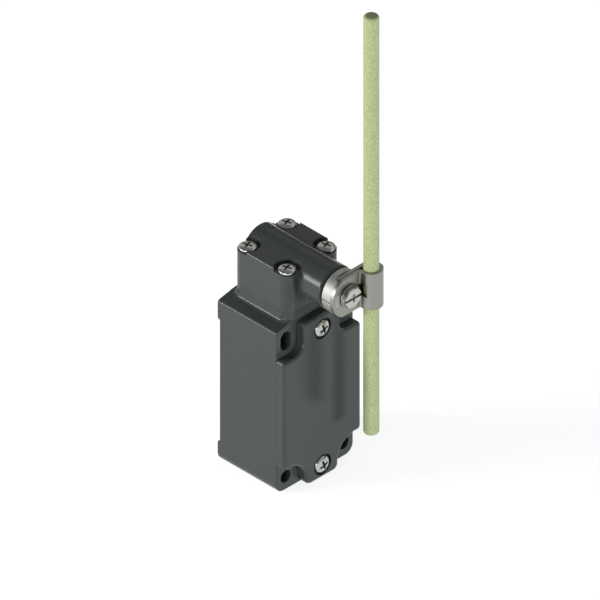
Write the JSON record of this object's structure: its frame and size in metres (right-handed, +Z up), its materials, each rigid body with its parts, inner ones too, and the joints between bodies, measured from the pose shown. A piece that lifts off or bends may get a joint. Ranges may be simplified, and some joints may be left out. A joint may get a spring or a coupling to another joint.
{
  "type": "rod lever limit switch",
  "caption": "Die-cast limit switch with a rotary head and an upright glass-fibre rod lever, fixed by its back face.",
  "frame": {"origin": "midway between the two lower fixing holes, on the mounting plane of the back pads", "axes": "+Z up along the rod and the body, +Y out of the back into the mounting surface, front faces -Y, X across the width"},
  "size_m": [0.04, 0.0545, 0.2103],
  "materials": {
    "casting": "dark grey powder coat, satin",
    "plated_screw": "bright zinc plate",
    "stainless": "tumbled stainless sheet",
    "hub_metal": "turned, satin",
    "glass_fibre": "pultruded rod, fine speckle",
    "seal_rubber": "matt black",
    "shaft_steel": "ground",
    "spring_steel": "drawn wire",
    "bush_bronze": "sintered, oiled",
    "block_plastic": "moulded polyamide",
    "block_cover_plastic": "moulded cover",
    "carrier_plastic": "moulded acetal",
    "contact_brass": "pressed strip"
  },
  "bodies": {
    "body": {"housing": "casting", "front_cover": "casting", "head_casting": "casting", "cover_seal": "seal_rubber", "head_seal": "seal_rubber", "shaft_seal": "seal_rubber", "cover_screws": "plated_screw", "head_screws": "plated_screw", "rear_bush": "bush_bronze", "front_bush": "bush_bronze", "plunger_guide": "bush_bronze", "return_spring": "spring_steel", "contact_block_base": "block_plastic", "contact_block_cover": "block_cover_plastic", "fixed_contacts": "contact_brass", "clamp_plates": "plated_screw", "terminal_screws": "plated_screw", "contact_block_screws": "plated_screw", "earth_clamp": "plated_screw", "earth_screw": "plated_screw"},
    "shaft": {"shaft": "shaft_steel", "retaining_ring": "spring_steel"},
    "lever": {"lever_hub": "hub_metal", "clamp_strip": "stainless", "clamp_washer": "plated_screw", "clamp_screw": "plated_screw"},
    "rod": {"rod": "glass_fibre"},
    "head_plunger": {"head_plunger": "shaft_steel"},
    "contact_carrier": {"contact_carrier": "carrier_plastic", "closed_contact_bridge": "contact_brass", "open_contact_bridge": "contact_brass", "bridge_springs": "spring_steel"}
  },
  "joints": [
    {"name": "lever_swing", "type": "hinge", "parent": "body", "child": "shaft", "pos_m": [0, -0.042, 0.08285], "axis": [0, 1, 0], "range_deg": [-75, 75], "stiffness_Nm_per_rad": 0.12},
    {"name": "lever_setting", "type": "hinge", "parent": "shaft", "child": "lever", "pos_m": [0, -0.045, 0.08285], "axis": [0, 1, 0], "continuous": true},
    {"name": "rod_setting", "type": "slide", "parent": "lever", "child": "rod", "axis": [0, 0, 1], "range_m": [-0.11, 0.055]},
    {"name": "plunger_stroke", "type": "slide", "parent": "body", "child": "head_plunger", "axis": [0, 0, -1], "range_m": [0, 0.003], "stiffness_N_per_m": 800, "deforming": ["return_spring"]},
    {"name": "carrier_stroke", "type": "slide", "parent": "body", "child": "contact_carrier", "axis": [0, 0, -1], "range_m": [0, 0.003], "stiffness_N_per_m": 200}
  ],
  "couplings": [
    {"joint": "carrier_stroke", "follows": "plunger_stroke", "ratio": 1}
  ]
}
